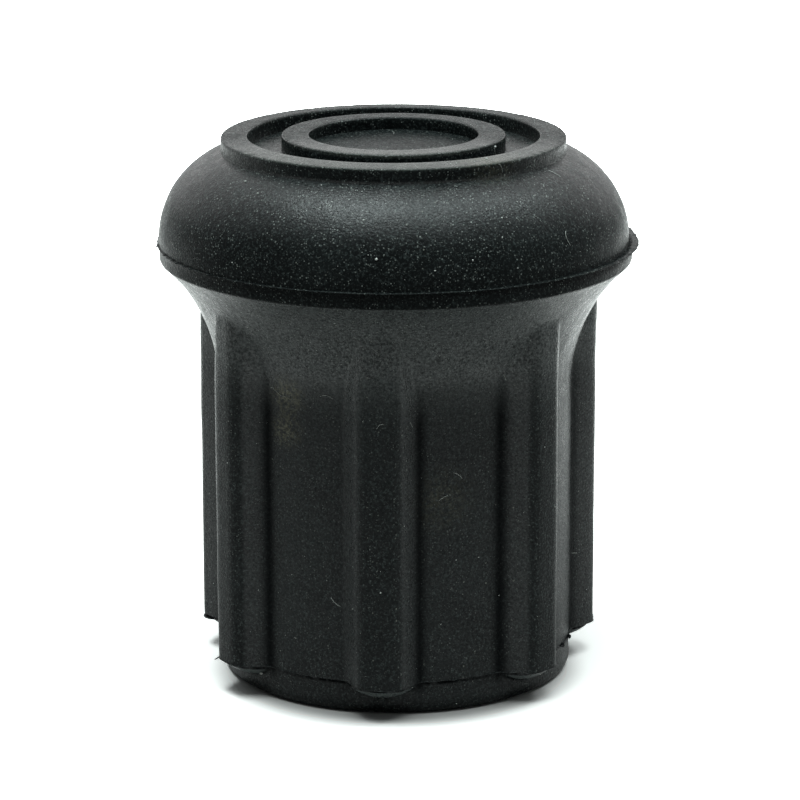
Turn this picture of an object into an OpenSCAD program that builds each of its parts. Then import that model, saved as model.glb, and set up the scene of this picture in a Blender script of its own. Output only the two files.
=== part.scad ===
// Moulded rubber cane tip, standing on its mouth with the tread up
// One solid: a ribbed socket, a flared flange, a round shoulder and a ringed tread
// The origin is the centre of the mouth on the floor, and Z is the axis of the socket

/* [Overall] */
// Height from the mouth to the top of the outer tread ring
tip_h = 47.4; // [46:0.1:60]

/* [Socket] */
// Diameter of the socket that grips the cane
bore_d = 22; // [16:0.5:24]
// Depth of the socket from the mouth to its floor
bore_depth = 34; // [20:0.5:36]
// Bevel that leads the cane into the mouth
bore_lead = 0.6; // [0.2:0.1:1.2]
// Rounding between the socket's wall and its floor
bore_floor_r = 1; // [0.5:0.1:3]

/* [Body] */
// Diameter of the plain body between the ribs
body_d = 30.9; // [29:0.1:33]
// Height of the parting line near the mouth
foot_h = 2.95; // [2:0.05:5]
// How far the lip below that parting line is set in
lip_inset = 0.1; // [0.05:0.05:0.4]
// Rounding of the lip's outer edge on the floor
lip_edge_r = 0.85; // [0.2:0.05:1.2]

/* [Ribs] */
// Number of gripping ribs around the body
rib_count = 7; // [4:1:10]
// Turn of the first rib from the front
rib_turn = -4.4; // [-25:0.1:25]
// How far a rib stands out of the body
rib_rise = 2.1; // [1.2:0.1:2.8]
// Width of a rib where it meets the body
rib_base_w = 6.2; // [4.5:0.1:8]
// Lean of a rib's sides
rib_draft = 32; // [15:1:36]
// Rounding of a rib's long edges
rib_edge_r = 1.25; // [0.5:0.05:1.4]
// How far a rib's rounded nose reaches below the parting line
rib_nose = 1.3; // [0.8:0.1:1.8]
// Room between a rib's edges and the rim of its nose
nose_room = 0.12; // [0.1:0.01:0.2]

/* [Flange] */
// Diameter of the flange
flange_d = 41; // [38:0.1:46]
// Height of the flange's plain edge
flange_h = 1.4; // [0.8:0.1:3]
// Rounding of the flange's lower edge
flange_edge_r = 0.2; // [0.1:0.05:0.4]
// Radius of the hollow flare between the body and the flange
cove_r = 14.8; // [10:0.1:20]
// How far the thin flash stands out of the flange
flash_reach = 0.6; // [0.1:0.05:0.8]
// Thickness of the flash
flash_t = 0.25; // [0.15:0.05:0.5]

/* [Shoulder] */
// Diameter of the shoulder above the parting line
shoulder_d = 40.8; // [37:0.1:44]
// Radius of the shoulder's rounding
shoulder_r = 8; // [5:0.1:10]
// Height of the straight wall below the rounding
shoulder_wall = 0.3; // [0.1:0.1:3]
// Sideways offset of the upper mould half
mould_shift = 0.2; // [0:0.05:0.5]

/* [Tread] */
// How far the outer ring stands above the crown of the shoulder
tread_rise = 0.9; // [0.5:0.1:2]
// How far the inner ring stands above the outer one
inner_ring_rise = 0.15; // [0:0.05:0.5]
// Depth of the groove below the outer ring
tread_depth = 1.2; // [0.6:0.1:2]
// Depth of the middle recess below the inner ring
recess_depth = 1.05; // [0.6:0.05:1.8]
// Outer diameter of the outer ring
outer_ring_d = 29.8; // [27:0.1:32]
// Width of the outer ring
outer_ring_w = 2.3; // [1.5:0.1:3.2]
// Outer diameter of the inner ring
inner_ring_d = 19.3; // [14:0.1:20]
// Width of the inner ring
inner_ring_w = 2.35; // [1.5:0.05:4]
// Rounding of the rings' top edges
tread_edge_r = 0.15; // [0.05:0.05:0.4]

/* [Hidden] */
$fn = 128;

bore_r = bore_d / 2;
body_r = body_d / 2;
lip_r = body_r - lip_inset;
flange_r = flange_d / 2;
flash_r = flange_r + flash_reach;
shoulder_out_r = shoulder_d / 2;
outer_ring_r = outer_ring_d / 2;
inner_ring_r = inner_ring_d / 2;

// Heights from the tread down
crown_h = tip_h - tread_rise;
shoulder_arc_h = crown_h - shoulder_r;
parting_h = shoulder_arc_h - shoulder_wall;
flange_low = parting_h - flange_h;
groove_floor_h = tip_h - tread_depth;
inner_ring_h = tip_h + inner_ring_rise;
recess_floor_h = inner_ring_h - recess_depth;
tread_core_h = min(groove_floor_h, recess_floor_h) - 1;

// The flare is an arc that starts upright on the body and ends inside the flange's edge
flare_out = flange_r - flange_edge_r / 2 - body_r;
flare_h = sqrt(cove_r * cove_r - (cove_r - flare_out) * (cove_r - flare_out));
flare_low = flange_low - flare_h;

crest_r = body_r + rib_rise;
nose_low = foot_h - rib_nose;
rib_root = 1.5;
rib_half = rib_base_w / 2;
rib_foot_r = sqrt(body_r * body_r - rib_half * rib_half);
rib_edge_y = rib_half - rib_edge_r / cos(rib_draft)
    - (crest_r - rib_edge_r - rib_foot_r) * tan(rib_draft);
rib_edge_x = crest_r - rib_edge_r;

// The nose is part of a ball whose rim on the parting line goes round the rib's section
rib_depth = crest_r - rib_foot_r;
nose_rim_r = (rib_depth * rib_depth + rib_half * rib_half) / (2 * rib_depth);
nose_axis_r = crest_r - nose_rim_r;
nose_cut_r = nose_rim_r + nose_room;
nose_meet = body_r - nose_axis_r;
nose_lift = (nose_cut_r * nose_cut_r - nose_meet * nose_meet - rib_nose * rib_nose) / (2 * rib_nose);
nose_ball_r = sqrt(nose_cut_r * nose_cut_r + nose_lift * nose_lift);

// The ribs end inside the flare where it has grown past their crests
rib_in_flare = cove_r - (crest_r - body_r) - 0.6;
rib_top = min(flange_low, flare_low + sqrt(cove_r * cove_r - rib_in_flare * rib_in_flare));

overlap = 0.5;

// Ring of rectangular section with both top edges rounded
module ring_section(r_in, r_out, low, high, edge) {
    translate([r_in, low])
        square([r_out - r_in, high - low - edge]);
    translate([r_in + edge, low])
        square([r_out - r_in - 2 * edge, high - low]);
    translate([r_in + edge, high - edge])
        circle(r = edge);
    translate([r_out - edge, high - edge])
        circle(r = edge);
}

// Half section of everything below the flange's parting line
module lower_section() {
    square([lip_r - lip_edge_r, foot_h]);
    translate([0, lip_edge_r])
        square([lip_r, foot_h - lip_edge_r]);
    translate([lip_r - lip_edge_r, lip_edge_r])
        circle(r = lip_edge_r);
    translate([0, foot_h])
        square([body_r, parting_h - foot_h]);
    difference() {
        translate([0, flare_low])
            square([body_r + flare_out, flare_h]);
        translate([body_r + cove_r, flare_low])
            circle(r = cove_r);
    }
    translate([0, flange_low])
        square([flange_r - flange_edge_r, flange_h]);
    translate([0, flange_low + flange_edge_r])
        square([flange_r, flange_h - flange_edge_r]);
    translate([flange_r - flange_edge_r, flange_low + flange_edge_r])
        circle(r = flange_edge_r);
    translate([0, parting_h - flash_t / 2])
        square([flash_r, flash_t]);
}

// Half section of the round shoulder
module shoulder_section() {
    translate([0, parting_h - overlap])
        square([shoulder_out_r, shoulder_wall + overlap]);
    translate([0, parting_h])
        square([shoulder_out_r - shoulder_r, tread_core_h - parting_h]);
    intersection() {
        translate([shoulder_out_r - shoulder_r, shoulder_arc_h])
            circle(r = shoulder_r);
        translate([0, shoulder_arc_h])
            square([shoulder_out_r, shoulder_r]);
    }
}

// Half section of the space inside the outer ring, down to the tread's core
module tread_cut_section() {
    translate([0, tread_core_h])
        square([outer_ring_r - outer_ring_w, tip_h - tread_core_h + overlap]);
}

// Half section of the groove's floor, the recess's floor and both rings
module tread_section() {
    outer_hollow_r = outer_ring_r - outer_ring_w;
    recess_r = inner_ring_r - inner_ring_w;
    low = tread_core_h - overlap;
    translate([inner_ring_r - overlap, low])
        square([outer_hollow_r - inner_ring_r + 2 * overlap, groove_floor_h - low]);
    translate([0, low])
        square([recess_r + overlap, recess_floor_h - low]);
    ring_section(outer_hollow_r, outer_ring_r, low, tip_h, tread_edge_r);
    ring_section(recess_r, inner_ring_r, low, inner_ring_h, tread_edge_r);
}

// Round shoulder with the tread on it, from the upper mould half
module upper_half() {
    translate([-mould_shift, 0, 0])
        rotate_extrude() {
            difference() {
                union() {
                    shoulder_section();
                    ring_section(0, outer_ring_r, parting_h, tip_h, tread_edge_r);
                }
                tread_cut_section();
            }
            tread_section();
        }
}

// Plan of one rib with leaning sides and rounded long edges
module rib_plan() {
    tangent_x = rib_edge_x + rib_edge_r * sin(rib_draft);
    tangent_y = rib_edge_y + rib_edge_r * cos(rib_draft);
    polygon([
        [body_r - rib_root, rib_half],
        [rib_foot_r, rib_half],
        [tangent_x, tangent_y],
        [crest_r, rib_edge_y],
        [crest_r, -rib_edge_y],
        [tangent_x, -tangent_y],
        [rib_foot_r, -rib_half],
        [body_r - rib_root, -rib_half]
    ]);
    for (side = [-1, 1])
        translate([rib_edge_x, side * rib_edge_y])
            circle(r = rib_edge_r);
}

// Turned outline about a rib's own line that ends the rib in part of a ball
module nose_trim() {
    translate([nose_axis_r, 0, 0])
        rotate_extrude() {
            translate([0, foot_h])
                square([nose_cut_r + overlap, rib_top - foot_h + overlap]);
            intersection() {
                translate([0, foot_h + nose_lift])
                    circle(r = nose_ball_r);
                translate([0, nose_low - overlap])
                    square([nose_cut_r + overlap, rib_nose + 2 * overlap]);
            }
        }
}

// One rib with a rounded nose at its lower end
module rib() {
    intersection() {
        translate([0, 0, nose_low])
            linear_extrude(rib_top - nose_low)
                rib_plan();
        nose_trim();
    }
}

// All ribs around the body
module ribs() {
    for (turn = [0 : rib_count - 1])
        rotate([0, 0, -90 + rib_turn + turn * 360 / rib_count])
            rib();
}

// Socket that opens at the mouth
module socket() {
    rotate_extrude() {
        translate([0, -overlap])
            square([bore_r, bore_depth - bore_floor_r + overlap]);
        square([bore_r - bore_floor_r, bore_depth]);
        translate([bore_r - bore_floor_r, bore_depth - bore_floor_r])
            circle(r = bore_floor_r);
        polygon([
            [0, -overlap],
            [bore_r + bore_lead + overlap, -overlap],
            [bore_r, bore_lead],
            [0, bore_lead]
        ]);
    }
}

module cane_tip() {
    color([0.09, 0.1, 0.1])
        difference() {
            union() {
                rotate_extrude()
                    lower_section();
                upper_half();
                ribs();
            }
            socket();
        }
}

cane_tip();
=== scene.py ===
import bpy
import math
import numpy as np
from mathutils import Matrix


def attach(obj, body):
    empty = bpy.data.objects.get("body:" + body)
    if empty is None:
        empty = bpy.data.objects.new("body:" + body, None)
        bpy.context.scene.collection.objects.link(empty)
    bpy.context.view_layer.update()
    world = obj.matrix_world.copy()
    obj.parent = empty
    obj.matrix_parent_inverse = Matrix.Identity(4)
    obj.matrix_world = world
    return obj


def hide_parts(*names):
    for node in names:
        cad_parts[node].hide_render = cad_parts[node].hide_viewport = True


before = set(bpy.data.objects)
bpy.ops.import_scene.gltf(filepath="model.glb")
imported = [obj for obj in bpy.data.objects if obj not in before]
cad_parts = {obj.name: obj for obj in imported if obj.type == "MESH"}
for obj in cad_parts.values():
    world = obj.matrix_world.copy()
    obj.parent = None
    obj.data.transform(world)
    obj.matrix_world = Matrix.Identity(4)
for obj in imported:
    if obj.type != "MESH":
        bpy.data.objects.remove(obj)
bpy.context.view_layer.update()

# Sizes of the tip in millimetres, as in the CAD source
TIP_H = 47.4
BORE_R = 11.0
BORE_DEPTH = 34.0
BORE_LEAD = 0.6
BORE_FLOOR_R = 1.0
BODY_R = 15.45
LIP_R = 15.35
LIP_EDGE_R = 0.85
FOOT_H = 2.95
RIB_COUNT = 7
RIB_TURN = -4.4
RIB_RISE = 2.1
RIB_HALF = 3.1
RIB_DRAFT = math.radians(32)
RIB_EDGE_R = 1.25
RIB_NOSE = 1.3
NOSE_ROOM = 0.12
FLANGE_R = 20.5
FLANGE_H = 1.4
FLANGE_EDGE_R = 0.2
FLASH_R = 21.1
COVE_R = 14.8
SHOULDER_OUT_R = 20.4
SHOULDER_R = 8.0
SHOULDER_WALL = 0.3
MOULD_SHIFT = 0.2
TREAD_RISE = 0.9
TREAD_DEPTH = 1.2
INNER_RING_RISE = 0.15
RECESS_DEPTH = 1.05
OUTER_RING_R = 14.9
OUTER_RING_W = 2.3
INNER_RING_R = 9.65
INNER_RING_W = 2.35
TREAD_EDGE_R = 0.15

CROWN_H = TIP_H - TREAD_RISE
SHOULDER_ARC_H = CROWN_H - SHOULDER_R
PARTING_H = SHOULDER_ARC_H - SHOULDER_WALL
FLANGE_LOW = PARTING_H - FLANGE_H
GROOVE_H = TIP_H - TREAD_DEPTH
INNER_RING_H = TIP_H + INNER_RING_RISE
RECESS_H = INNER_RING_H - RECESS_DEPTH
GROOVE_R = OUTER_RING_R - OUTER_RING_W
RECESS_R = INNER_RING_R - INNER_RING_W
FLARE_OUT = FLANGE_R - FLANGE_EDGE_R / 2 - BODY_R
FLARE_LOW = FLANGE_LOW - math.sqrt(COVE_R ** 2 - (COVE_R - FLARE_OUT) ** 2)
CREST_R = BODY_R + RIB_RISE
NOSE_LOW = FOOT_H - RIB_NOSE
RIB_FOOT_R = math.sqrt(BODY_R ** 2 - RIB_HALF ** 2)
RIB_EDGE_X = CREST_R - RIB_EDGE_R
RIB_EDGE_Y = (RIB_HALF - RIB_EDGE_R / math.cos(RIB_DRAFT)
              - (RIB_EDGE_X - RIB_FOOT_R) * math.tan(RIB_DRAFT))
RIB_DEPTH = CREST_R - RIB_FOOT_R
NOSE_RIM_R = (RIB_DEPTH ** 2 + RIB_HALF ** 2) / (2 * RIB_DEPTH)
NOSE_AXIS_R = CREST_R - NOSE_RIM_R
NOSE_CUT_R = NOSE_RIM_R + NOSE_ROOM
NOSE_LIFT = (NOSE_CUT_R ** 2 - (BODY_R - NOSE_AXIS_R) ** 2 - RIB_NOSE ** 2) / (2 * RIB_NOSE)
NOSE_BALL_R = math.hypot(NOSE_CUT_R, NOSE_LIFT)
RIB_PITCH = 2 * math.pi / RIB_COUNT

# Wear, flash and unevenness in millimetres, and the painted shade in the ribs' corners
TREAD_CROWN = 0.1
WORN_WIDTH = 0.34
WORN_SWELL = 1.1
RIB_BLEND = 0.12
BODY_LEAN = 0.14
WAVE_DEPTH = 0.022
RIPPLE_DEPTH = 0.008
NICK_WIDTH = 0.22
FLASH_STAND = 0.2
FLASH_SWELL = 0.25
FLASH_T = 0.13
FOOT_FLASH_T = 0.09
FLASH_TIP_SHARE = 0.45
FLASH_ROOT = 0.3
CORNER_TURN = math.radians(12.1)
CORNER_WIDTH = math.radians(2.0)
CORNER_FADE = 3.5
FRONT_LEFT_CORNER_SHARE = 0.2
SHARP_ANGLE = math.radians(40)

# Steps of the flash, and sizes of the fibres and crumbs, which stay below the highest place
FLANGE_FLASH_STEPS = 2600
FOOT_FLASH_STEPS = 3600
FIBRE_SIDES = 5
FIBRE_STEPS = 9
FIBRE_LIFT = 0.02
CRUMB_SIZE = 0.02
CRUMB_SPAN = 0.045
HIGHEST = INNER_RING_H - 0.01
MM = 0.001
SEED = 7

# Colours of the rubber, its dust and its painted light and shade, and heights, shares and depths in
# millimetres of their looks
RUBBER_DARK = (0.0045, 0.0058, 0.0060)
RUBBER_BLOOM = (0.0095, 0.0118, 0.0120)
# Pale dust on the ring tops, painted faint at their rear as shade
TREAD_DUST_AND_LIGHT = (0.066, 0.073, 0.064)
# Dust in the flare, made paler as painted light where the flare faces down to the white floor
FLARE_DUST_AND_LIGHT = (0.080, 0.092, 0.089)
RUBBER_SPECKLE = (0.057, 0.069, 0.067)
# Pale colour on the ribs' noses, a painted reflection of the white floor below them
NOSE_PAINTED_REFLECTION = (0.135, 0.158, 0.155)
# Colour of the painted shade in the ribs' corners, under the lower flash and in the pits
PAINTED_SHADE_COLOUR = (0.0025, 0.003, 0.0035)
DUST_COLOUR = (0.32, 0.33, 0.29)
POWDER_COLOUR = (0.5, 0.54, 0.5)
DUST_SHADES = [(0.3, (0.42, 0.44, 0.4)), (0.75, (0.93, 0.94, 0.9))]
POWDER_START = 28.0
POWDER_FULL = 33.0
BODY_SHEEN_LOW = 26.0
BODY_SHEEN_HIGH = 31.0
CROWN_SHEEN_LOW = 41.0
CROWN_SHEEN_HIGH = 45.0
# Shares of the painted shade in the ribs' corners and of the painted shadow under the lower flash
CORNER_PAINTED_SHADE = 0.8
SEAM_PAINTED_SHADOW = 0.95
SPECKLE_SHARE = 0.8
DUST_CELLS = 2.1
POWDER_CELLS = 5.5
DENT_CELLS = 0.9
GRAIN_DEPTH = 0.055
FOLD_DEPTH = 0.012
CRUMB_COUNT = 650
FIBRE_COUNT = 16

# Brightness of the world and of the floor by place, with the floor's painted contact shadow, and sizes in
# metres
LIGHT_TINT = (0.875, 1.0, 1.0)
WORLD_FRONT = 0.02
WORLD_SIDE = 0.26
WORLD_BACK = 0.95
FLOOR_NEAR = 0.63
FLOOR_FAR = 0.08
FLOOR_BACK = 1.7
FLOOR_SEEN = 1.7
FLOOR_PAINTED_SHADOW = 0.42
FLOOR_MIRRORED = 0.85
FLOOR_TINT = (1.07, 1.0, 0.98)
FLOOR_HALF = 4.0
CONTACT_PLACE = (0.0, -0.0026, 0.0)
CONTACT_IN = 0.0132
CONTACT_OUT = 0.0173
HAZE_START = 0.12
HAZE_END = 0.9
HAZE_GAIN = 14.0
TABLE_EDGE = 0.05
TABLE_END = 0.13

# Lamps that face down on the tip: name, place in metres, width and depth, and brightness
SOFTBOXES = [("overhead", (0.0, -0.1, 0.6), (0.5, 0.4), 4.94),
             ("overhead_left", (-0.16, 0.0, 0.59), (0.14, 0.26), 8.4),
             ("overhead_right", (0.36, 0.13, 0.59), (0.16, 0.26), 7.4)]

# Camera, with its place in metres, angles in radians and lens in millimetres
CAMERA_PLACE = (0.000483, -0.318715, 0.108897)
CAMERA_TILT = 0.261
CAMERA_ROLL = 0.002
CAMERA_LENS = 169.16
SENSOR_WIDTH = 36.0
CLIP_START = 0.01
CLIP_END = 20.0

# Places on the skin are a turn from the front in degrees, a distance from the axis and a height
# Worn dust marks: place, reach and share
SMUDGE_COLOUR = (0.26, 0.25, 0.175)
SMUDGES = [((-36, 15.5, 27.6), 2.4, 0.9), ((-37, 15.5, 24.6), 2.2, 0.75),
           ((14.5, 15.5, 19.0), 4.0, 0.2), ((33, 13.4, 47.4), 3.6, 0.36)]

# Small pits in the flare, each a spot of painted shade: place, reach and share
PITS = [((16.3, 17.8, 34.0), 0.36, 0.75), ((28.5, 16.9, 32.2), 0.34, 0.7), ((26, 17.0, 32.4), 0.3, 0.6),
        ((36, 16.8, 32.0), 0.34, 0.7), ((32.5, 17.1, 32.6), 0.3, 0.7), ((24, 17.3, 33.0), 0.3, 0.6)]

# Larger crumbs that lie where they are seen: place and size
BIG_CRUMBS = [((-4.3, 20.0, 40.9), 0.17), ((-49.7, 16.4, 45.5), 0.1), ((-45.3, 17.0, 45.1), 0.07),
              ((-41.5, 17.1, 45.0), 0.08), ((-17.5, 17.2, 45.0), 0.06), ((-50, 15.4, 2.7), 0.12),
              ((18, 20.0, 40.7), 0.08), ((63, 9.65, 47.0), 0.09), ((-4, 17.5, 11.0), 0.09),
              ((21.5, 13.5, 47.4), 0.06), ((35, 13.3, 47.4), 0.08), ((29, 13.5, 47.4), 0.05),
              ((28, 18.6, 43.8), 0.08), ((-8, 18.4, 44.0), 0.07), ((9, 20.2, 40.0), 0.06)]

# Fibres that lie where they are seen: place, length and lean from level in degrees
FIBRES = [((36.5, 14.9, 46.8), 0.95, 85), ((58, 15.9, 45.5), 1.3, 100), ((-39.5, 15.5, 27.5), 1.5, 10),
          ((-22, 15.5, 28.1), 1.2, 35), ((-20, 15.5, 9.6), 1.1, 20), ((19.5, 15.5, 21.6), 1.0, 60),
          ((14.5, 15.5, 19.0), 0.9, 140), ((36, 15.5, 28.9), 1.0, 75), ((-4.4, 17.5, 26.2), 0.8, 120),
          ((63, 9.7, 46.9), 0.7, 80), ((36, 20.5, 36.6), 0.9, 60), ((46, 19.3, 41.2), 1.3, 70)]

# Flakes of flash on the lower parting line: angle, reach, half width in degrees, and how far they hang
FOOT_FLAKES = [(-61.5, 0.5, 0.45, 0.25), (-103, 0.12, 5.0, 0.35), (98.5, 0.2, 0.8, 0.05),
               (79.0, 0.35, 2.2, 0.1), (70.0, 0.3, 1.6, 0.15), (75.0, 0.2, 5.0, 0.05)]


def around(turn, reach, height):
    """Point at a turn from the front in degrees, a distance from the axis and a height."""
    angle = math.radians(turn)
    return (reach * math.sin(angle), -reach * math.cos(angle), height)


def line(start, end, steps):
    """Points from start up to but not including end."""
    share = np.arange(steps) / steps
    return [(start[0] + (end[0] - start[0]) * t, start[1] + (end[1] - start[1]) * t) for t in share]


def arc(centre, radius, start, end, steps):
    """Points on a circle from one angle up to but not including another, in degrees."""
    angles = np.radians(start + (end - start) * np.arange(steps) / steps)
    return [(centre[0] + radius * math.cos(a), centre[1] + radius * math.sin(a)) for a in angles]


def ring_top(inner, outer, inner_h, outer_h, steps):
    """Top of a tread ring from its outer edge to its inner edge."""
    edge = TREAD_EDGE_R
    points = arc((outer - edge, outer_h - edge), edge, 0, 90, 3)
    points += line((outer - edge, outer_h), (inner + edge, inner_h), steps)
    points += arc((inner + edge, inner_h - edge), edge, 90, 180, 3)
    return points


def lower_profile():
    """Half section from the middle of the socket's floor, round the mouth and up to the parting line."""
    points = line((0.0, BORE_DEPTH), (BORE_R - BORE_FLOOR_R, BORE_DEPTH), 3)
    points += arc((BORE_R - BORE_FLOOR_R, BORE_DEPTH - BORE_FLOOR_R), BORE_FLOOR_R, 90, 0, 3)
    points += line((BORE_R, BORE_DEPTH - BORE_FLOOR_R), (BORE_R, BORE_LEAD), 5)
    points += line((BORE_R, BORE_LEAD), (BORE_R + BORE_LEAD, 0.0), 2)
    points += line((BORE_R + BORE_LEAD, 0.0), (LIP_R - LIP_EDGE_R, 0.0), 3)
    points += arc((LIP_R - LIP_EDGE_R, LIP_EDGE_R), LIP_EDGE_R, -90, 0, 5)
    points += line((LIP_R, LIP_EDGE_R), (LIP_R, NOSE_LOW - 0.1), 2)
    points += line((LIP_R, NOSE_LOW - 0.1), (LIP_R, FOOT_H - 0.03), 12)
    points += [(LIP_R, FOOT_H - 0.03)]
    points += line((BODY_R, FOOT_H), (BODY_R, FOOT_H + 0.4), 2)
    points += line((BODY_R, FOOT_H + 0.4), (BODY_R, FLARE_LOW), 12)
    start = 180.0
    end = 180.0 - math.degrees(math.asin((FLANGE_LOW - FLARE_LOW) / COVE_R))
    points += arc((BODY_R + COVE_R, FLARE_LOW), COVE_R, start, end, 36)
    edge = FLANGE_EDGE_R
    points += arc((FLANGE_R - edge, FLANGE_LOW + edge), edge, -50, 0, 3)
    points += line((FLANGE_R, FLANGE_LOW + edge), (FLANGE_R, PARTING_H), 3)
    return points


def upper_profile():
    """Half section from the parting line over the shoulder to the middle of the tread."""
    points = line((SHOULDER_OUT_R, PARTING_H), (SHOULDER_OUT_R, SHOULDER_ARC_H), 1)
    meet = math.degrees(math.acos((OUTER_RING_R - (SHOULDER_OUT_R - SHOULDER_R)) / SHOULDER_R))
    centre = (SHOULDER_OUT_R - SHOULDER_R, SHOULDER_ARC_H)
    points += arc(centre, SHOULDER_R, 0, meet, 30)
    base = SHOULDER_ARC_H + SHOULDER_R * math.sin(math.radians(meet))
    points += line((OUTER_RING_R, base), (OUTER_RING_R, TIP_H - TREAD_EDGE_R), 5)
    points += ring_top(GROOVE_R, OUTER_RING_R, TIP_H + TREAD_CROWN, TIP_H, 5)
    points += line((GROOVE_R, TIP_H - TREAD_EDGE_R), (GROOVE_R, GROOVE_H), 3)
    points += line((GROOVE_R, GROOVE_H), (INNER_RING_R, GROOVE_H), 4)
    points += line((INNER_RING_R, GROOVE_H), (INNER_RING_R, INNER_RING_H - TREAD_EDGE_R), 3)
    points += ring_top(RECESS_R, INNER_RING_R, INNER_RING_H, INNER_RING_H, 5)
    points += line((RECESS_R, INNER_RING_H - TREAD_EDGE_R), (RECESS_R, RECESS_H), 3)
    points += line((RECESS_R, RECESS_H), (0.0, RECESS_H), 7)
    points.append((0.0, RECESS_H))
    return points


def columns():
    """Angles from the front, close together on the ribs' sides and edges."""
    pitch = 360.0 / RIB_COUNT
    half = [0.0, 1.0, 2.0, 2.9, 3.4, 3.9, 4.4, 4.9, 5.4, 5.9, 6.3, 6.7, 7.4, 8.2, 9.0, 9.8, 10.4,
            10.9, 11.25, 11.5, 11.75, 12.0, 12.4]
    gap = np.linspace(13.0, pitch / 2, 19)
    half = np.array(half + list(gap))
    whole = np.concatenate([-half[1:-1][::-1], half])
    angles = np.concatenate([whole + RIB_TURN + pitch * k for k in range(RIB_COUNT)])
    return np.radians(angles)


def full_turn(count):
    """Even angles all round the axis."""
    return np.arange(count) * 2 * math.pi / count


def level_ring(angles, radius):
    """Points on a level ring, in millimetres."""
    return np.stack([radius * np.sin(angles), radius * np.cos(angles), 0 * angles], axis=-1)


def turn_from(angles, middle):
    """Angle from a direction, within half a turn either way."""
    return (angles - middle + math.pi) % (2 * math.pi) - math.pi


def from_nearest_rib(angles):
    """Angle from the middle of the nearest rib."""
    return (angles - math.radians(RIB_TURN) + RIB_PITCH / 2) % RIB_PITCH - RIB_PITCH / 2


def rib_radius(angle):
    """Distance from the axis to a rib's surface at an angle from the rib's middle, or 0 beside it."""
    a = np.abs(angle)
    crest = CREST_R / np.cos(a)
    centre = np.hypot(RIB_EDGE_X, RIB_EDGE_Y)
    turn = math.atan2(RIB_EDGE_Y, RIB_EDGE_X)
    across = centre * np.sin(a - turn)
    rounded = centre * np.cos(a - turn) + np.sqrt(np.maximum(RIB_EDGE_R ** 2 - across ** 2, 0))
    normal = (math.sin(RIB_DRAFT), math.cos(RIB_DRAFT))
    reach = RIB_FOOT_R * normal[0] + RIB_HALF * normal[1]
    side = reach / (np.cos(a) * normal[0] + np.sin(a) * normal[1])
    crest_end = math.atan2(RIB_EDGE_Y, CREST_R)
    side_start = math.atan2(RIB_EDGE_Y + RIB_EDGE_R * normal[1], RIB_EDGE_X + RIB_EDGE_R * normal[0])
    out = np.where(a < crest_end, crest, np.where(a < side_start, rounded, side))
    return np.where(a < math.atan2(RIB_HALF, RIB_FOOT_R) + 0.02, out, 0.0)


def worn_section(angle):
    """Distance from the axis to the body and its ribs, with the section's corners worn soft."""
    steps = 4001
    turns = np.linspace(-RIB_PITCH / 2, RIB_PITCH / 2, steps)
    sharp = np.maximum(rib_radius(turns), BODY_R)
    spread = WORN_WIDTH / BODY_R / (RIB_PITCH / (steps - 1))
    reach = int(3 * spread)
    weights = np.exp(-0.5 * (np.arange(-reach, reach + 1) / spread) ** 2)
    weights /= weights.sum()
    repeated = np.concatenate([sharp[-reach - 1:-1], sharp, sharp[1:reach + 1]])
    soft = np.convolve(repeated, weights, "valid")
    return BODY_R + (np.interp(angle, turns, soft) - BODY_R) * WORN_SWELL


def nose_radius(angle, height):
    """Distance from the axis to the ball that rounds a rib's lower end, or 0 beside it."""
    a = np.abs(angle)
    level = NOSE_BALL_R ** 2 - (FOOT_H + NOSE_LIFT - height) ** 2
    inside = level - (NOSE_AXIS_R * np.sin(a)) ** 2
    return np.where(inside > 0, NOSE_AXIS_R * np.cos(a) + np.sqrt(np.maximum(inside, 0)), 0.0)


def soft_max(first, second, width):
    """Larger of two values, with the step between them rounded over a width."""
    mix = np.clip(0.5 + 0.5 * (first - second) / width, 0, 1)
    return second * (1 - mix) + first * mix + width * mix * (1 - mix)


def corner_shares(angles, from_rib):
    """Share of painted shade in the corners beside the ribs, with little at the left of the front rib."""
    corner = np.exp(-((np.abs(from_rib) - CORNER_TURN) / CORNER_WIDTH) ** 2)
    left_of_front_rib = (np.abs(angles - math.radians(RIB_TURN)) < RIB_PITCH / 2) & (from_rib < 0)
    return np.where(left_of_front_rib, FRONT_LEFT_CORNER_SHARE * corner, corner)


def ring_faces(low, high, count):
    """Faces between two rows of points around the axis, each row given by its first point."""
    faces = []
    for j in range(count):
        k = (j + 1) % count
        faces.append((low + j, low + k, high + k, high + j))
    return faces


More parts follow.
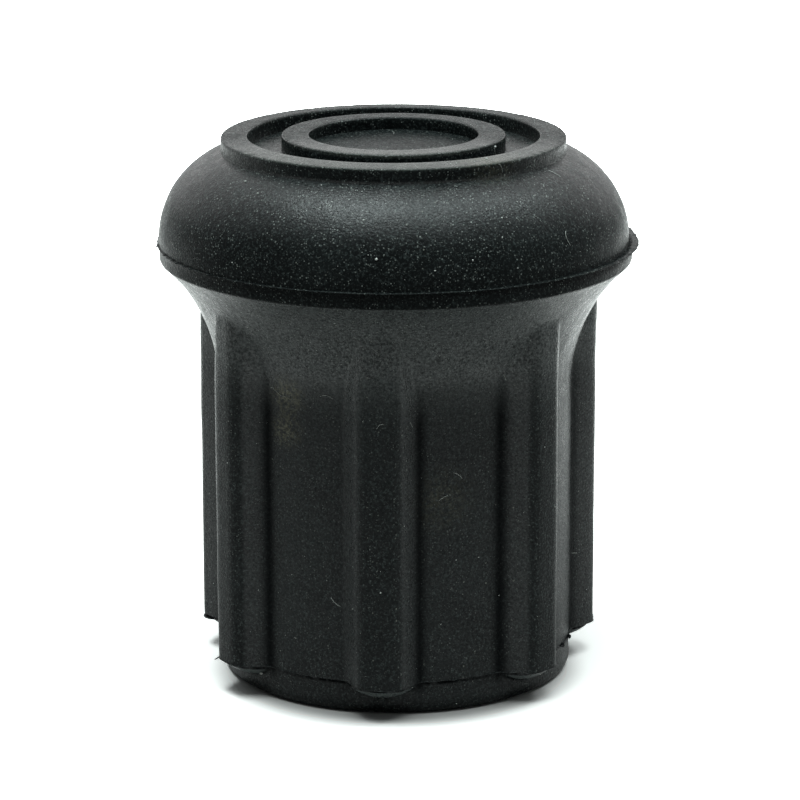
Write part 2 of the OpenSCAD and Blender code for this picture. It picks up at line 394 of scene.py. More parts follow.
def tip_mesh():
    """Points, faces and painted corner shade of the whole tip, in rows around the axis with a point at
    each end.
    """
    angles = columns()
    from_rib = from_nearest_rib(angles)
    ribs = rib_radius(from_rib)
    worn = worn_section(from_rib)
    corner = corner_shares(angles, from_rib)
    lower = lower_profile()
    upper = upper_profile()
    socket_rows = sum(1 for r, z in lower if r <= BORE_R + BORE_LEAD)
    rows = []
    painted_shade = []
    for index, (radius, height) in enumerate(lower + upper):
        reach = np.full(len(angles), radius)
        ribbed = socket_rows < index < len(lower) and NOSE_LOW < height < FLANGE_LOW
        if ribbed and height < FOOT_H:
            rib = np.minimum(ribs, nose_radius(from_rib, height))
            reach = np.where(rib > 0, soft_max(rib, reach, RIB_BLEND), reach)
        elif ribbed:
            width = RIB_BLEND * min(1.0, max(radius - BODY_R, 0.0) / 0.6) + 1e-6
            reach = soft_max(worn, reach, width)
        shift = -MOULD_SHIFT if index >= len(lower) else 0.0
        x = reach * np.sin(angles) + shift
        y = -reach * np.cos(angles)
        rows.append(np.stack([x, y, np.full(len(angles), height)], axis=-1))
        # Painted shade in the ribs' corners, fading out at the foot and up in the flare
        fade = np.clip(height - NOSE_LOW, 0, 1)
        fade *= np.clip((FLARE_LOW + CORNER_FADE - height) / CORNER_FADE, 0, 1)
        painted_shade.append(corner * fade * ribbed)
    points = np.concatenate([rows[0][:1], *rows[1:-1], rows[-1][:1]]) * MM
    painted_shade = np.concatenate([painted_shade[0][:1], *painted_shade[1:-1], painted_shade[-1][:1]])
    count = len(angles)
    faces = [(0, 1 + (j + 1) % count, 1 + j) for j in range(count)]
    for row in range(len(rows) - 3):
        faces += ring_faces(1 + row * count, 1 + (row + 1) * count, count)
    top = len(points) - 1
    last = top - count
    faces += [(last + j, last + (j + 1) % count, top) for j in range(count)]
    return points, faces, painted_shade


def waves(points, seed, wavelength, count):
    """Smooth uneven field, mostly between -1 and 1, made of crossing waves."""
    rng = np.random.default_rng(seed)
    total = np.zeros(len(points))
    for _ in range(count):
        way = rng.normal(size=3)
        way /= np.linalg.norm(way)
        pitch = wavelength * rng.uniform(0.7, 1.5)
        total += np.sin(points @ way * 2 * math.pi / pitch + rng.uniform(0, 2 * math.pi))
    return total / math.sqrt(count)


def read_all(items, name, size):
    """One property of all the vertices or faces, with a row for each."""
    values = np.empty(len(items) * size)
    items.foreach_get(name, values)
    return values.reshape(-1, size)


def soften(mesh):
    """Give the outer skin the slight unevenness of a moulding."""
    places = read_all(mesh.vertices, "co", 3) / MM
    normals = read_all(mesh.vertices, "normal", 3)
    reach = np.hypot(places[:, 0], places[:, 1])
    skin = (reach > BORE_R + BORE_LEAD + 0.5) | (places[:, 2] > BORE_DEPTH + 1)
    calm = np.clip(places[:, 2] - 0.2, 0, 1) * np.clip((TIP_H - 0.4 - places[:, 2]) / 0.6, 0, 1)
    move = WAVE_DEPTH * waves(places, SEED, 7.0, 9) + RIPPLE_DEPTH * waves(places, SEED + 1, 2.6, 12)
    places += normals * (move * skin * calm)[:, None]
    low_fade = np.clip((places[:, 2] - 0.5) / 3, 0, 1)
    high_fade = np.clip((FLANGE_LOW - 1 - places[:, 2]) / 8, 0, 1)
    places[:, 0] -= BODY_LEAN * skin * low_fade * high_fade
    rng = np.random.default_rng(SEED + 10)
    angles = np.arctan2(places[:, 0], -places[:, 1])
    for ring_r, ring_h, share in ((OUTER_RING_R, TIP_H, 1.0), (INNER_RING_R, INNER_RING_H, 0.6)):
        nicks = chips(angles, rng, 120, 0.01, 0.16, 0.006, 0.02) * share
        centred = np.hypot(places[:, 0] + MOULD_SHIFT, places[:, 1])
        edge = np.exp(-((centred - ring_r) / NICK_WIDTH) ** 2) * (places[:, 2] > ring_h - 0.3)
        front = np.clip(0.5 - places[:, 1] / ring_r, 0.25, 1)
        places[:, 2] -= nicks * edge * front
    mesh.vertices.foreach_set("co", (places * MM).ravel())
    mesh.update()


def add_piece(name, points, faces, material):
    """Mesh object from points and faces that rides on the CAD body."""
    mesh = bpy.data.meshes.new(name)
    mesh.from_pydata(np.asarray(points).tolist(), [], faces)
    mesh.polygons.foreach_set("use_smooth", [True] * len(mesh.polygons))
    mesh.materials.append(material)
    mesh.update()
    piece = bpy.data.objects.new(name, mesh)
    bpy.context.scene.collection.objects.link(piece)
    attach(piece, "root")
    return piece


def chips(angles, rng, count, low, high, narrow, wide):
    """Ragged edge made of many small lumps around the axis, each with its own height and width."""
    total = np.zeros(len(angles))
    for _ in range(count):
        middle = rng.uniform(-math.pi, math.pi)
        size = low + (high - low) * rng.random() ** 3
        width = rng.uniform(narrow, wide)
        total = np.maximum(total, size * np.exp(-(turn_from(angles, middle) / width) ** 2))
    return total


def fin(name, root, tip, height, thickness, droop, shift, material):
    """Thin ring of flash from a root line out to a ragged tip line, closed all round."""
    count = len(root)
    angles = full_turn(count)
    rows = []
    thin = FLASH_TIP_SHARE
    for reach, share, side in ((root, 1.0, -1), (tip, thin, -1), (tip, thin, 1), (root, 1.0, 1)):
        level = height + side * share * thickness / 2
        if share < 1:
            level = level - droop
        x = reach * np.sin(angles) - shift
        y = -reach * np.cos(angles)
        rows.append(np.stack([x, y, level + 0 * angles], axis=-1))
    faces = []
    for row in range(4):
        faces += ring_faces(row * count, (row + 1) % 4 * count, count)
    return add_piece(name, np.concatenate(rows) * MM, faces, material)


def add_flange_flash(material):
    """Ragged flash squeezed out between the mould halves round the flange."""
    rng = np.random.default_rng(SEED + 2)
    angles = full_turn(FLANGE_FLASH_STEPS)
    ring = level_ring(angles, 30)
    reach = FLANGE_R + FLASH_STAND + 0.07 * waves(ring, SEED + 3, 30.0, 5)
    reach += 0.035 * waves(ring, SEED + 4, 1.6, 9)
    reach += chips(angles, rng, 90, 0.02, 0.3, 0.002, 0.012)
    right = np.clip(np.sin(angles), 0, 1) ** 6
    reach += FLASH_SWELL * right
    tip = np.clip(reach, FLANGE_R + 0.03, FLASH_R - 0.02)
    root = np.full(len(angles), FLANGE_R - FLASH_ROOT)
    thickness = FLASH_T + 0.03 * waves(ring, SEED + 5, 6.0, 5)
    return fin("flange_flash", root, tip, PARTING_H, thickness, 0.0 * angles, 0.0, material)


def add_foot_flash(material):
    """Fine flash on the lower parting line, with the few larger flakes that were left on it."""
    rng = np.random.default_rng(SEED + 6)
    angles = full_turn(FOOT_FLASH_STEPS)
    outline = worn_section(from_nearest_rib(angles))
    ring = level_ring(angles, 24)
    stand = 0.04 + 0.03 * waves(ring, SEED + 7, 3.0, 6)
    stand += chips(angles, rng, 70, 0.02, 0.18, 0.003, 0.015)
    droop = 0 * angles
    for middle, size, width, fall in FOOT_FLAKES:
        flake = np.exp(-(turn_from(angles, math.radians(middle)) / math.radians(width)) ** 4)
        stand = np.maximum(stand, size * flake)
        droop = np.maximum(droop, fall * flake)
    root = outline - 0.25
    tip = outline + np.clip(stand, 0.0, 0.6)
    return fin("foot_flash", root, tip, FOOT_H, FOOT_FLASH_T, droop, BODY_LEAN * 0.8, material)


def surface_samples(mesh, rng, count):
    """Random places on the mesh's outer skin, with the direction out of it."""
    centres, normals = face_places(mesh)
    areas = read_all(mesh.polygons, "area", 1)[:, 0]
    reach = np.hypot(centres[:, 0], centres[:, 1]) / MM
    height = centres[:, 2] / MM
    outside = ((reach > BORE_R + BORE_LEAD + 1) | (height > BORE_DEPTH + 2)) & (height > 0.5)
    chance = areas * outside
    picks = rng.choice(len(centres), size=count, p=chance / chance.sum())
    return centres[picks], normals[picks]


def nearest(centres, place):
    """Index of the face nearest to a place on the skin."""
    return int(np.argmin(((centres - np.array(around(*place)) * MM) ** 2).sum(axis=1)))


def face_places(mesh):
    """Middle and outward direction of each face."""
    return read_all(mesh.polygons, "center", 3), read_all(mesh.polygons, "normal", 3)


def crumb_shape(rng):
    """Small uneven lump of twelve points."""
    ratio = (1 + math.sqrt(5)) / 2
    base = np.array([(-1, ratio, 0), (1, ratio, 0), (-1, -ratio, 0), (1, -ratio, 0),
                     (0, -1, ratio), (0, 1, ratio), (0, -1, -ratio), (0, 1, -ratio),
                     (ratio, 0, -1), (ratio, 0, 1), (-ratio, 0, -1), (-ratio, 0, 1)])
    base /= np.linalg.norm(base[0])
    stretch = rng.uniform(0.6, 1.4, size=3)
    return base * stretch * rng.uniform(0.75, 1.25, size=(12, 1))


CRUMB_FACES = [(0, 11, 5), (0, 5, 1), (0, 1, 7), (0, 7, 10), (0, 10, 11), (1, 5, 9), (5, 11, 4),
               (11, 10, 2), (10, 7, 6), (7, 1, 8), (3, 9, 4), (3, 4, 2), (3, 2, 6), (3, 6, 8),
               (3, 8, 9), (4, 9, 5), (2, 4, 11), (6, 2, 10), (8, 6, 7), (9, 8, 1)]


def add_crumbs(mesh, material):
    """Specks of pale dust and rubber crumbs that lie on the skin."""
    rng = np.random.default_rng(SEED + 8)
    centres, normals = surface_samples(mesh, rng, CRUMB_COUNT)
    sizes = CRUMB_SIZE + CRUMB_SPAN * rng.random(CRUMB_COUNT) ** 4
    middles, ways = face_places(mesh)
    named = [nearest(middles, place) for place, size in BIG_CRUMBS]
    centres = np.concatenate([centres, middles[named]])
    normals = np.concatenate([normals, ways[named]])
    sizes = np.concatenate([sizes, [size for place, size in BIG_CRUMBS]])
    points = []
    faces = []
    for centre, normal, size in zip(centres, normals, sizes):
        start = len(points)
        shape = crumb_shape(rng) * size * MM
        lump = centre + normal * size * 0.3 * MM + shape
        lump[:, 2] = np.minimum(lump[:, 2], HIGHEST * MM)
        points.extend(lump.tolist())
        faces.extend([(a + start, b + start, c + start) for a, b, c in CRUMB_FACES])
    return add_piece("dust_crumbs", points, faces, material)


def fibre_spine(rng, centre, normal, length, lean):
    """Points along a fibre that bends over the skin."""
    level = np.cross(normal, (0.0, 0.0, 1.0))
    if np.linalg.norm(level) < 0.1:
        level = np.array((1.0, 0.0, 0.0))
    level /= np.linalg.norm(level)
    rise = np.cross(level, normal)
    heading = math.radians(lean)
    bend = rng.uniform(-1.6, 1.6) / FIBRE_STEPS
    spine = [centre + normal * FIBRE_LIFT * MM]
    for _ in range(FIBRE_STEPS - 1):
        step = level * math.cos(heading) + rise * math.sin(heading)
        spine.append(spine[-1] + step * length / (FIBRE_STEPS - 1) * MM)
        heading += bend + rng.normal(0, 0.08)
    spine = np.array(spine)
    return spine + (centre - spine.mean(axis=0) + normal * FIBRE_LIFT * MM)


def add_fibres(mesh, material):
    """Thin curved fibres of lint that lie on the skin."""
    rng = np.random.default_rng(SEED + 9)
    middles, ways = face_places(mesh)
    jobs = []
    for place, length, lean in FIBRES:
        index = nearest(middles, place)
        jobs.append((middles[index], ways[index], length, lean))
    centres, normals = surface_samples(mesh, rng, FIBRE_COUNT)
    for centre, normal in zip(centres, normals):
        jobs.append((centre, normal, rng.uniform(0.4, 1.2), rng.uniform(0, 180)))
    points = []
    faces = []
    sides = FIBRE_SIDES
    for centre, normal, length, lean in jobs:
        spine = fibre_spine(rng, centre, normal, length, lean)
        thick = rng.uniform(0.012, 0.02) * MM
        for index in range(FIBRE_STEPS):
            ahead = spine[min(index + 1, FIBRE_STEPS - 1)] - spine[max(index - 1, 0)]
            ahead /= np.linalg.norm(ahead)
            out = normal - ahead * (normal @ ahead)
            out /= np.linalg.norm(out)
            aside = np.cross(ahead, out)
            start = len(points)
            for corner in range(sides):
                turn = 2 * math.pi * corner / sides
                points.append(spine[index] + (out * math.cos(turn) + aside * math.sin(turn)) * thick)
            if index > 0:
                faces += ring_faces(start - sides, start, sides)
        first = len(points) - FIBRE_STEPS * sides
        last = len(points) - sides
        faces.append(tuple(first + corner for corner in reversed(range(sides))))
        faces.append(tuple(last + corner for corner in range(sides)))
    points = np.array(points)
    points[:, 2] = np.minimum(points[:, 2], HIGHEST * MM)
    return add_piece("lint_fibres", points, faces, material)


class Shading:
    """Makes the nodes of one material or of the world."""

    def __init__(self, owner):
        owner.use_nodes = True
        self.nodes = owner.node_tree.nodes
        self.links = owner.node_tree.links

    def feed(self, socket, value):
        """Link another node's output to a socket, or set a plain value on it."""
        if isinstance(value, bpy.types.NodeSocket):
            self.links.new(value, socket)
        else:
            socket.default_value = value

    def node(self, kind, inputs, **settings):
        """New node with its settings and its inputs."""
        made = self.nodes.new("ShaderNode" + kind)
        for name, value in settings.items():
            setattr(made, name, value)
        for name, value in inputs.items():
            self.feed(made.inputs[name], value)
        return made

    def ramp(self, value, low, high, start=0.0, end=1.0, shape="SMOOTHSTEP"):
        """Number that goes from start to end while a value goes from low to high."""
        span = {"Value": value, "From Min": low, "From Max": high, "To Min": start, "To Max": end}
        return self.node("MapRange", span, interpolation_type=shape).outputs["Result"]

    def joined(self, kind, values):
        """Numbers joined one after another by one kind of sum."""
        total = values[0]
        for value in values[1:]:
            total = self.node("Math", {0: total, 1: value}, operation=kind).outputs["Value"]
        return total

    def times(self, *values):
        """Product of numbers."""
        return self.joined("MULTIPLY", values)

    def plus(self, *values):
        """Sum of numbers."""
        return self.joined("ADD", values)

    def most(self, *values):
        """Largest of numbers."""
        return self.joined("MAXIMUM", values)

    def rest(self, value):
        """What a share leaves of one."""
        return self.joined("SUBTRACT", (1.0, value))

    def mix(self, factor, first, second):
        """Number between two others."""
        ends = {"Factor": factor, "A": first, "B": second}
        return self.node("Mix", ends, data_type="FLOAT").outputs["Result"]

    def blend(self, factor, first, second):
        """Colour between two others."""
        ends = {"Factor": factor}
        for name, colour in (("A", first), ("B", second)):
            ends[name] = colour + (1,) if isinstance(colour, tuple) else colour
        return self.node("Mix", ends, data_type="RGBA").outputs["Result"]

    def split(self, vector):
        """The three numbers of a vector."""
        made = self.node("SeparateXYZ", {"Vector": vector})
        return made.outputs["X"], made.outputs["Y"], made.outputs["Z"]

    def length(self, vector):
        """Length of a vector."""
        return self.node("VectorMath", {0: vector}, operation="LENGTH").outputs["Value"]

    def distance(self, vector, place):
        """Distance from a place."""
        return self.node("VectorMath", {0: vector, 1: place}, operation="DISTANCE").outputs["Value"]


class Skin(Shading):
    """Makes the rubber's nodes from places on the tip in millimetres."""

    def __init__(self, owner):
        super().__init__(owner)
        place = self.node("TexCoord", {})
        self.where = self.stretched(place.outputs["Object"], (1 / MM, 1 / MM, 1 / MM))
        x, self.depth, self.height = self.split(self.where)
        flat = self.node("CombineXYZ", {"X": x, "Y": self.depth})
        self.spread = self.length(flat.outputs["Vector"])
        facing = self.node("NewGeometry", {})
        self.upward = self.split(facing.outputs["Normal"])[2]
        self.grain = self.noise(5.0, 2, 0.6)

    def stretched(self, vector, scale):
        """Vector with each of its numbers scaled."""
        return self.node("Mapping", {"Vector": vector, "Scale": scale}).outputs["Vector"]

    def noise(self, scale, detail, rough, where=None):
        """Cloudy number round a half."""
        looks = {"Scale": scale, "Detail": detail, "Roughness": rough}
        looks["Vector"] = self.where if where is None else where
        return self.node("TexNoise", looks).outputs["Fac"]

    def patchy(self, looks, low, high, start=0.0, end=1.0):
        """Cloudy number from start to end, from the noise's scale, detail and roughness."""
        return self.ramp(self.noise(*looks), low, high, start, end)

    def cells(self, scale):
        """Distance from the nearest of some scattered points, and two random numbers for that point."""
        dots = self.node("TexVoronoi", {"Vector": self.where, "Scale": scale})
        chance = self.node("SeparateColor", {"Color": dots.outputs["Color"]})
        return dots.outputs["Distance"], chance.outputs["Red"], chance.outputs["Green"]

    def up(self, low, high, start=0.0, end=1.0):
        """Number that changes with the height."""
        return self.ramp(self.height, low, high, start, end)

    def out(self, low, high, start=0.0, end=1.0):
        """Number that changes with the distance from the axis."""
        return self.ramp(self.spread, low, high, start, end)

    def back(self, low, high, start=0.0, end=1.0):
        """Number that changes from the front to the back."""
        return self.ramp(self.depth, low, high, start, end)

    def below_flange(self):
        """One below the flange and nothing above."""
        return self.up(FLANGE_LOW - 0.05, FLANGE_LOW + 0.05, 1.0, 0.0)

    def at_outer_wall(self):
        """One at the outer ring's wall and beyond, and nothing nearer the axis."""
        return self.out(OUTER_RING_R - 0.9, OUTER_RING_R - 0.4)

    def spot(self, place, reach, share):
        """Share that fades with the distance from a place."""
        return self.ramp(self.distance(self.where, around(*place)), 0.0, reach, share, 0.0)


def rubber_painted_shade(skin):
    """Share of painted shade in the ribs' corners, of painted shadow under the flash along the lower
    parting line, and of painted shade in the pits.
    """
    # Painted shade in the ribs' corners
    corner = skin.node("Attribute", {}, attribute_name="painted_corner_shade")
    # Painted shadow under the flash along the lower parting line
    below_seam = skin.up(FOOT_H - 0.03, FOOT_H + 0.03, 1.0, 0.0)
    seam = skin.times(skin.up(FOOT_H - 0.42, FOOT_H - 0.2), below_seam)
    seam = skin.times(seam, skin.patchy((0.8, 4, 0.7), 0.35, 0.6, 0.15, 1.0))
    painted_shade = skin.most(skin.times(corner.outputs["Fac"], CORNER_PAINTED_SHADE), skin.times(seam, SEAM_PAINTED_SHADOW))
    # Painted shade in small pits in the flare
    for place, reach, share in PITS:
        painted_shade = skin.most(painted_shade, skin.spot(place, reach, share))
    return painted_shade


def rubber_colour(skin, painted_shade):
    """Black rubber with dust and painted light in the flare, dust on the rings that is painted fainter at
    their rear as shade, a painted reflection on the ribs' noses, and painted shade.
    """
    colour = skin.blend(skin.patchy((0.16, 4, 0.6), 0.35, 0.7), RUBBER_DARK, RUBBER_BLOOM)
    # Dust in the flare, made paler as painted light where the flare faces down to the white floor
    flare = skin.times(skin.up(FLARE_LOW - 1, FLARE_LOW + 7), skin.below_flange())
    flare = skin.times(flare, skin.patchy((4.4, 3, 0.8), 0.38, 0.64, 0.08, 1.0))
    colour = skin.blend(flare, colour, FLARE_DUST_AND_LIGHT)
    speckle = skin.times(skin.patchy((4.6, 3, 0.7), 0.5, 0.68), SPECKLE_SHARE)
    colour = skin.blend(speckle, colour, RUBBER_SPECKLE)
    # Pale dust on the ring tops, partly painted light: strong at the front and faint towards the rear, so
    # the rear is painted in shade
    ring_dust = skin.patchy((4.5, 3, 0.8), 0.36, 0.66, 0.1, 1.0)
    tread = skin.times(skin.up(TIP_H - 0.25, TIP_H - 0.05), ring_dust)
    tread = skin.times(tread, skin.back(-10.0, -3.0, 1.0, 0.1))
    colour = skin.blend(tread, colour, TREAD_DUST_AND_LIGHT)

    # Scattered specks of dust
    away, first, second = skin.cells(DUST_CELLS)
    speck = skin.joined("LESS_THAN", (away, skin.ramp(first, 0.0, 1.0, 0.04, 0.16)))
    colour = skin.blend(skin.times(speck, skin.ramp(second, 0.7, 1.0, 0.0, 0.6)), colour, DUST_COLOUR)

    # Powder, finer and closer together, and strongest from the flare up
    away, first, second = skin.cells(POWDER_CELLS)
    speck = skin.joined("LESS_THAN", (away, skin.ramp(first, 0.1, 1.0, 0.1, 0.38)))
    drift = skin.patchy((0.35, 4, 0.7), 0.35, 0.65, 0.25, 1.0)
    faint = skin.times(skin.ramp(second, 0.25, 1.0, 0.0, 0.28), drift)
    faint = skin.times(faint, skin.up(POWDER_START, POWDER_FULL, 0.85, 2.0))
    colour = skin.blend(skin.times(speck, faint), colour, POWDER_COLOUR)

    for place, reach, share in SMUDGES:
        mark = skin.times(skin.spot(place, reach, share), skin.patchy((3.0, 4, 0.8), 0.42, 0.66))
        colour = skin.blend(mark, colour, SMUDGE_COLOUR)
    # Pale colour on the ribs' noses, a painted reflection of the white floor below them
    below_seam = skin.up(FOOT_H - 0.4, FOOT_H - 0.15, 1.0, 0.0)
    nose = skin.times(skin.out(BODY_R + 0.15, BODY_R + 0.45), below_seam)
    nose = skin.times(nose, skin.patchy((2.5, 4, 0.7), 0.25, 0.6, 0.35, 1.0))
    colour = skin.blend(nose, colour, NOSE_PAINTED_REFLECTION)
    # Painted shade over the colour in the ribs' corners, under the lower flash and in the pits
    return skin.blend(painted_shade, colour, PAINTED_SHADE_COLOUR)


def rubber_roughness(skin):
    """Roughness that differs a little from place to place."""
    cloudy = skin.patchy((0.9, 4, 0.65), 0.3, 0.7, -0.06, 0.07)
    uneven = skin.plus(cloudy, skin.ramp(skin.grain, 0.3, 0.7, -0.05, 0.05))
    level = skin.up(FLANGE_LOW - 0.8, FLANGE_LOW + 0.7, 0.3, 0.295)
    tread = skin.up(GROOVE_H - 0.2, GROOVE_H + 0.2, 0.0, -0.03)
    return skin.plus(uneven, skin.plus(level, tread))


def tread_gloss(skin):
    """Gloss that is duller in the tread's hollows, on its outer wall, at its rear and near the floor."""
    in_tread = skin.up(GROOVE_H - 0.2, GROOVE_H - 0.1)
    hollow = skin.times(skin.out(GROOVE_R + 0.4, GROOVE_R + 0.6, 1.0, 0.0), in_tread)
    steep = skin.times(hollow, skin.ramp(skin.upward, 0.2, 0.8, 1.0, 0.0))
    near_floor = skin.up(0.1, 1.4, 0.15, 1.0)
    gloss = skin.times(skin.ramp(steep, 0.0, 1.0, 0.5, 0.08), near_floor)
    rear = skin.times(skin.back(-9.0, 0.0), skin.up(TIP_H - 0.3, TIP_H - 0.1))
    rear = skin.times(rear, skin.ramp(skin.upward, 0.8, 0.95))
    recess = skin.times(skin.out(RECESS_R, RECESS_R + 0.2, 1.0, 0.0), in_tread, 0.8)
    wall = skin.times(skin.at_outer_wall(), skin.up(GROOVE_H - 0.2, GROOVE_H + 0.1))
    wall = skin.times(wall, skin.back(-12.0, -5.0, 0.0, 0.45))
    gloss = skin.times(gloss, skin.ramp(skin.most(rear, recess, wall), 0.0, 1.0, 1.0, 0.12))
    groove = skin.times(skin.out(INNER_RING_R - 0.15, INNER_RING_R + 0.05), hollow)
    groove = skin.times(groove, skin.up(GROOVE_H + 0.2, GROOVE_H + 0.3, 1.0, 0.0))
    ahead = skin.back(-10.5, -5.5, -0.95, 1.1)
    return skin.times(gloss, skin.plus(1.0, skin.times(groove, ahead)))


def gloss_by_height(skin):
    """Share of the gloss, small from the flange to the shoulder's middle and on the outer ring's wall."""
    on_flange = skin.up(FLANGE_LOW - 0.1, FLANGE_LOW + 0.05, 1.0, 0.14)
    share = skin.times(skin.up(BODY_SHEEN_LOW, BODY_SHEEN_HIGH, 0.3, 0.52), on_flange)
    share = skin.plus(share, skin.up(CROWN_SHEEN_LOW, CROWN_SHEEN_HIGH, 0.0, 0.45))
    side = skin.times(skin.at_outer_wall(), skin.up(GROOVE_H, GROOVE_H + 0.2))
    side = skin.times(side, skin.up(TIP_H - 0.12, TIP_H, 1.0, 0.0))
    side = skin.times(side, skin.back(-13.5, -9.0, 0.85, 0.5))
    return skin.times(share, skin.rest(side))


def gloss_on_ribs(skin):
    """Factor for the gloss, larger on the ribs' sides and smaller on their crests."""
    flank = skin.out(BODY_R + 0.15, BODY_R + 0.7, 1.0, 1.75)
    crest = skin.out(CREST_R - 0.5, CREST_R - 0.1, 1.0, 0.4)
    ribbed = skin.up(FLARE_LOW + 2, FLARE_LOW + 6, 1.0, 0.0)
    change = skin.joined("SUBTRACT", (skin.times(flank, crest), 1.0))
    return skin.plus(1.0, skin.times(change, ribbed))


def rubber_gloss(skin, painted_shade):
    """Specular level that differs by place on the tip."""
    gloss = skin.times(tread_gloss(skin), skin.patchy((5.2, 3, 0.75), 0.32, 0.68, 0.6, 1.4))
    # The painted shade also takes away the gloss
    gloss = skin.times(gloss, skin.rest(painted_shade))
    blotch = skin.times(skin.up(FLARE_LOW + 1, FLARE_LOW + 6), skin.below_flange())
    blotch = skin.times(blotch, skin.patchy((4.6, 3, 0.8), 0.36, 0.64, -0.6, 0.75))
    gloss = skin.times(gloss, skin.plus(1.0, blotch))
    return skin.times(gloss, skin.times(gloss_by_height(skin), gloss_on_ribs(skin)))


def rubber_relief(skin):
    """Normal of a skin with fine grain, small dents and faint folds, in millimetres."""
    away, first, _ = skin.cells(DENT_CELLS)
    dents = skin.times(skin.ramp(away, 0.04, 0.13, 1.0, 0.0), skin.ramp(first, 0.6, 1.0, 0.0, -0.05))
    folds = skin.noise(1.1, 3, 0.6, skin.stretched(skin.where, (1.0, 1.0, 3.2)))
    relief = skin.plus(skin.times(skin.grain, GRAIN_DEPTH), dents)
    relief = skin.plus(relief, skin.times(skin.ramp(folds, 0.45, 0.8), FOLD_DEPTH))
    bump = skin.node("Bump", {"Strength": 1.0, "Distance": MM, "Height": relief})
    return bump.outputs["Normal"]


def rubber_material():
    """Black rubber with a fine grain, pale dust, a worn tread, and painted light and shade."""
    material = bpy.data.materials.new("black_rubber")
    skin = Skin(material)
    shader = skin.nodes["Principled BSDF"]
    # Painted shade in the ribs' corners, under the lower flash and in the pits
    painted_shade = rubber_painted_shade(skin)
    skin.feed(shader.inputs["Base Color"], rubber_colour(skin, painted_shade))
    skin.feed(shader.inputs["Roughness"], rubber_roughness(skin))
    skin.feed(shader.inputs["Specular IOR Level"], rubber_gloss(skin, painted_shade))
    skin.feed(shader.inputs["IOR"], 1.5)
    skin.feed(shader.inputs["Normal"], rubber_relief(skin))
    return material


def dust_material():
    """Pale matte dust of uneven greys."""
    material = bpy.data.materials.new("pale_dust")
    dust = Shading(material)
    shader = dust.nodes["Principled BSDF"]
    place = dust.node("TexCoord", {})
    uneven = dust.node("TexNoise", {"Vector": place.outputs["Object"], "Scale": 900})
    shades = dust.node("ValToRGB", {"Fac": uneven.outputs["Fac"]})
    for stop, (position, colour) in zip(shades.color_ramp.elements, DUST_SHADES):
        stop.position = position
        stop.color = colour + (1,)
    dust.feed(shader.inputs["Base Color"], shades.outputs["Color"])
    dust.feed(shader.inputs["Roughness"], 0.9)
    return material


def floor_material():
    """White floor that keeps the tip's shadow, with a painted contact shadow round the foot.

    Camera, glossy and transmission rays see it white, and diffuse light sees it pale near the tip
    and behind it, darker towards the camera as a small white table would be, with a painted shadow at the
    foot.
    """
    material = bpy.data.materials.new("white_floor")
    paint = Shading(material)
    paint.nodes.clear()
    position = paint.node("NewGeometry", {}).outputs["Position"]
    x, y, _ = paint.split(position)
    away = paint.length(position)

    # What is seen, with a painted contact shadow in a ring round the foot
    painted_contact_shadow = paint.distance(position, CONTACT_PLACE)
    painted_contact_shadow = paint.ramp(painted_contact_shadow, CONTACT_IN, CONTACT_OUT, FLOOR_PAINTED_SHADOW, FLOOR_SEEN)
    shown = paint.times(painted_contact_shadow, paint.ramp(away, HAZE_START, HAZE_END, 1.0, HAZE_GAIN, "LINEAR"))

    # What diffuse light sees
    oval = paint.node("VectorMath", {0: position, 1: (1.0, 2.0, 1.0)}, operation="MULTIPLY")
    near = paint.length(oval.outputs["Vector"])
    near = paint.ramp(near, TABLE_EDGE, TABLE_END, FLOOR_NEAR, FLOOR_FAR)
    aside = paint.node("Math", {0: x}, operation="ABSOLUTE").outputs["Value"]
    behind = paint.node("Math", {0: aside, 1: -0.4, 2: y}, operation="MULTIPLY_ADD").outputs["Value"]
    behind = paint.ramp(behind, -0.01, 0.05, 0.0, FLOOR_BACK)
    # Painted shadow round the foot in the light that the floor bounces
    painted_bounce_shadow = paint.ramp(away, 0.018, 0.045, 0.5, 1.0)
    right = paint.ramp(x, 0.0, 0.05, 1.0, 1.25)
    bounced = paint.times(paint.most(near, behind), painted_bounce_shadow, right)

    path = paint.node("LightPath", {}).outputs
    level = paint.mix(paint.most(path["Is Camera Ray"], path["Is Transmission Ray"]), bounced, shown)
    level = paint.mix(path["Is Glossy Ray"], level, paint.most(bounced, FLOOR_MIRRORED))
    tinted = paint.node("VectorMath", {0: FLOOR_TINT, "Scale": level}, operation="SCALE")
    matte = paint.node("BsdfDiffuse", {"Color": tinted.outputs["Vector"]})
    paint.node("OutputMaterial", {"Surface": matte.outputs["BSDF"]})
    return material


def add_floor():
    """Large plain floor."""
    half = FLOOR_HALF
    corners = [(-half, -half, 0), (half, -half, 0), (half, half, 0), (-half, half, 0)]
    mesh = bpy.data.meshes.new("floor")
    mesh.from_pydata(corners, [], [(0, 1, 2, 3)])
    mesh.materials.append(floor_material())
    floor = bpy.data.objects.new("floor", mesh)
    bpy.context.scene.collection.objects.link(floor)


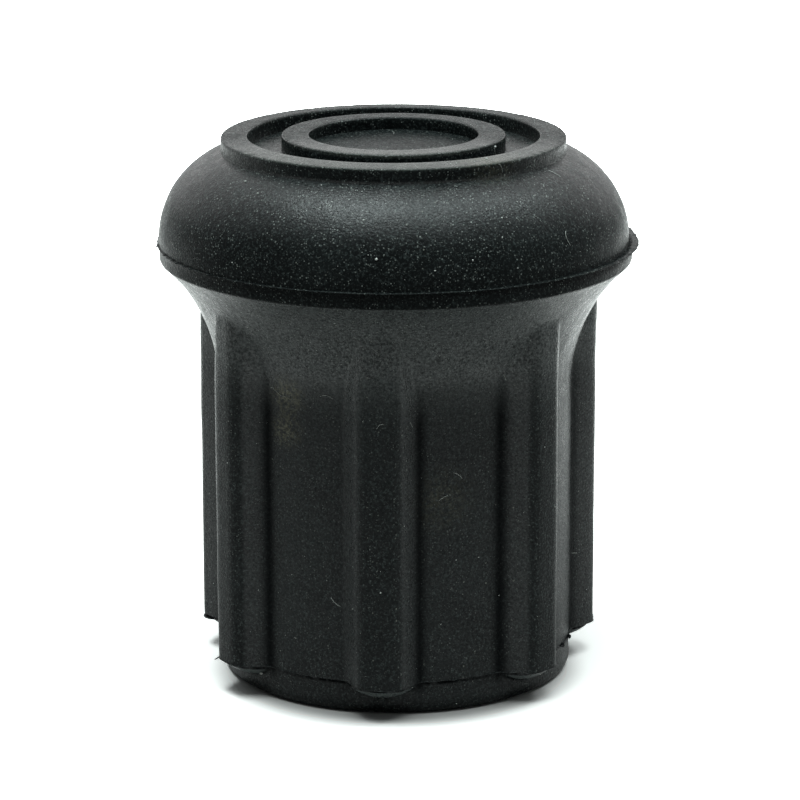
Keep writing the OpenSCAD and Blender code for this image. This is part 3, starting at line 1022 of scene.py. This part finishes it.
def set_world():
    """White world for camera, glossy and transmission rays.

    Its diffuse light is that of a white backdrop behind, grey sides and a dark room in front.
    """
    world = bpy.data.worlds.new("studio")
    bpy.context.scene.world = world
    room = Shading(world)
    room.nodes.clear()
    x, y, z = room.split(room.node("TexCoord", {}).outputs["Generated"])
    sides = room.ramp(y, -0.95, -0.3, WORLD_FRONT, WORLD_SIDE)
    behind = room.ramp(y, 0.45, 0.9, 0.0, WORLD_BACK - WORLD_SIDE)
    level = room.times(room.plus(sides, behind), room.ramp(z, 0.3, 0.7, 1.0, 0.35))
    level = room.times(level, room.ramp(x, 0.0, 0.9, 1.0, 1.8))
    path = room.node("LightPath", {}).outputs
    seen = room.most(path["Is Camera Ray"], path["Is Transmission Ray"], path["Is Glossy Ray"])
    light = {"Color": room.blend(seen, LIGHT_TINT, (1, 1, 1)), "Strength": room.mix(seen, level, 1.0)}
    back = room.node("Background", light)
    room.node("OutputWorld", {"Surface": back.outputs["Background"]})


def add_softbox(name, place, size, radiance):
    """Area light of a given brightness that faces straight down."""
    data = bpy.data.lights.new(name, "AREA")
    data.shape = "RECTANGLE"
    data.size = size[0]
    data.size_y = size[1]
    data.energy = radiance * math.pi * size[0] * size[1]
    data.color = LIGHT_TINT
    lamp = bpy.data.objects.new(name, data)
    bpy.context.scene.collection.objects.link(lamp)
    lamp.location = place


def add_camera():
    """Camera at the photograph's place, height and lens."""
    data = bpy.data.cameras.new("camera")
    data.sensor_width = SENSOR_WIDTH
    data.lens = CAMERA_LENS
    data.clip_start = CLIP_START
    data.clip_end = CLIP_END
    camera = bpy.data.objects.new("camera", data)
    bpy.context.scene.collection.objects.link(camera)
    camera.location = CAMERA_PLACE
    camera.rotation_euler = (math.pi / 2 - CAMERA_TILT, CAMERA_ROLL, 0.0)
    bpy.context.scene.camera = camera


bpy.context.scene.view_settings.view_transform = "Standard"
add_camera()
set_world()
add_floor()
for name, place, size, radiance in SOFTBOXES:
    add_softbox(name, place, size, radiance)

rubber = rubber_material()
tip_points, tip_faces, tip_corner_shade = tip_mesh()
tip = add_piece("tip", tip_points, tip_faces, rubber)
# Painted shade in the ribs' corners, kept on the tip's points
tip.data.attributes.new("painted_corner_shade", "FLOAT", "POINT").data.foreach_set("value", tip_corner_shade)
soften(tip.data)
tip.data.set_sharp_from_angle(angle=SHARP_ANGLE)
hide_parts("cane_tip")
add_flange_flash(rubber)
add_foot_flash(rubber)
dust = dust_material()
add_crumbs(tip.data, dust)
add_fibres(tip.data, dust)
